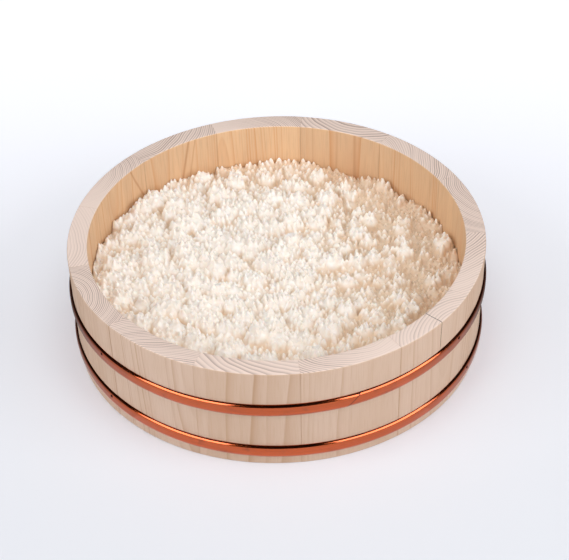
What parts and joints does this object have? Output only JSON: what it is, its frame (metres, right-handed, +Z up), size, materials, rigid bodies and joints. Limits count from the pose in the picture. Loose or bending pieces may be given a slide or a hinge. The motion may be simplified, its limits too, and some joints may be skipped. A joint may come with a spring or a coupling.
{
  "type": "sushi rice tub",
  "caption": "Low round stave-built wooden tub bound by copper hoops, holding a bed of cooked sushi rice that lifts out for an empty tub.",
  "frame": {"origin": "middle of the ring that the tub stands on, at the level of the ground", "axes": "+Z up along the tub's axis; -Y is the front that the picture shows, +X its right"},
  "size_m": [0.333, 0.3332, 0.092],
  "materials": {
    "stave_wood": "planed, unfinished pale softwood",
    "floor_wood": "planed, unfinished pale softwood",
    "bamboo": "split and shaved bamboo",
    "copper": "polished copper",
    "nail_metal": "dark copper",
    "rice": "moist cooked grains"
  },
  "bodies": {
    "tub": {"stave_01": "stave_wood", "stave_02": "stave_wood", "stave_03": "stave_wood", "stave_04": "stave_wood", "stave_05": "stave_wood", "stave_06": "stave_wood", "stave_07": "stave_wood", "stave_08": "stave_wood", "stave_09": "stave_wood", "stave_10": "stave_wood", "stave_11": "stave_wood", "stave_12": "stave_wood", "stave_13": "stave_wood", "stave_pin_upper_01": "bamboo", "stave_pin_upper_02": "bamboo", "stave_pin_upper_03": "bamboo", "stave_pin_upper_04": "bamboo", "stave_pin_upper_05": "bamboo", "stave_pin_upper_06": "bamboo", "stave_pin_upper_07": "bamboo", "stave_pin_upper_08": "bamboo", "stave_pin_upper_09": "bamboo", "stave_pin_upper_10": "bamboo", "stave_pin_upper_11": "bamboo", "stave_pin_upper_12": "bamboo", "stave_pin_upper_13": "bamboo", "stave_pin_lower_01": "bamboo", "stave_pin_lower_02": "bamboo", "stave_pin_lower_03": "bamboo", "stave_pin_lower_04": "bamboo", "stave_pin_lower_05": "bamboo", "stave_pin_lower_06": "bamboo", "stave_pin_lower_07": "bamboo", "stave_pin_lower_08": "bamboo", "stave_pin_lower_09": "bamboo", "stave_pin_lower_10": "bamboo", "stave_pin_lower_11": "bamboo", "stave_pin_lower_12": "bamboo", "stave_pin_lower_13": "bamboo", "floor_board_1": "floor_wood", "floor_board_2": "floor_wood", "floor_board_3": "floor_wood", "floor_board_4": "floor_wood", "floor_pin_1": "bamboo", "floor_pin_2": "bamboo", "floor_pin_3": "bamboo", "floor_pin_4": "bamboo", "floor_pin_5": "bamboo", "floor_pin_6": "bamboo", "upper_hoop": "copper", "lower_hoop": "copper", "upper_hoop_nail_1": "nail_metal", "upper_hoop_nail_2": "nail_metal", "upper_hoop_nail_3": "nail_metal", "lower_hoop_nail_1": "nail_metal", "lower_hoop_nail_2": "nail_metal", "lower_hoop_nail_3": "nail_metal"},
    "rice": {"rice_bed": "rice"}
  },
  "joints": [
    {"name": "rice_lift", "type": "slide", "parent": "tub", "child": "rice", "axis": [0, 0, 1], "range_m": [0, 0.08]}
  ]
}
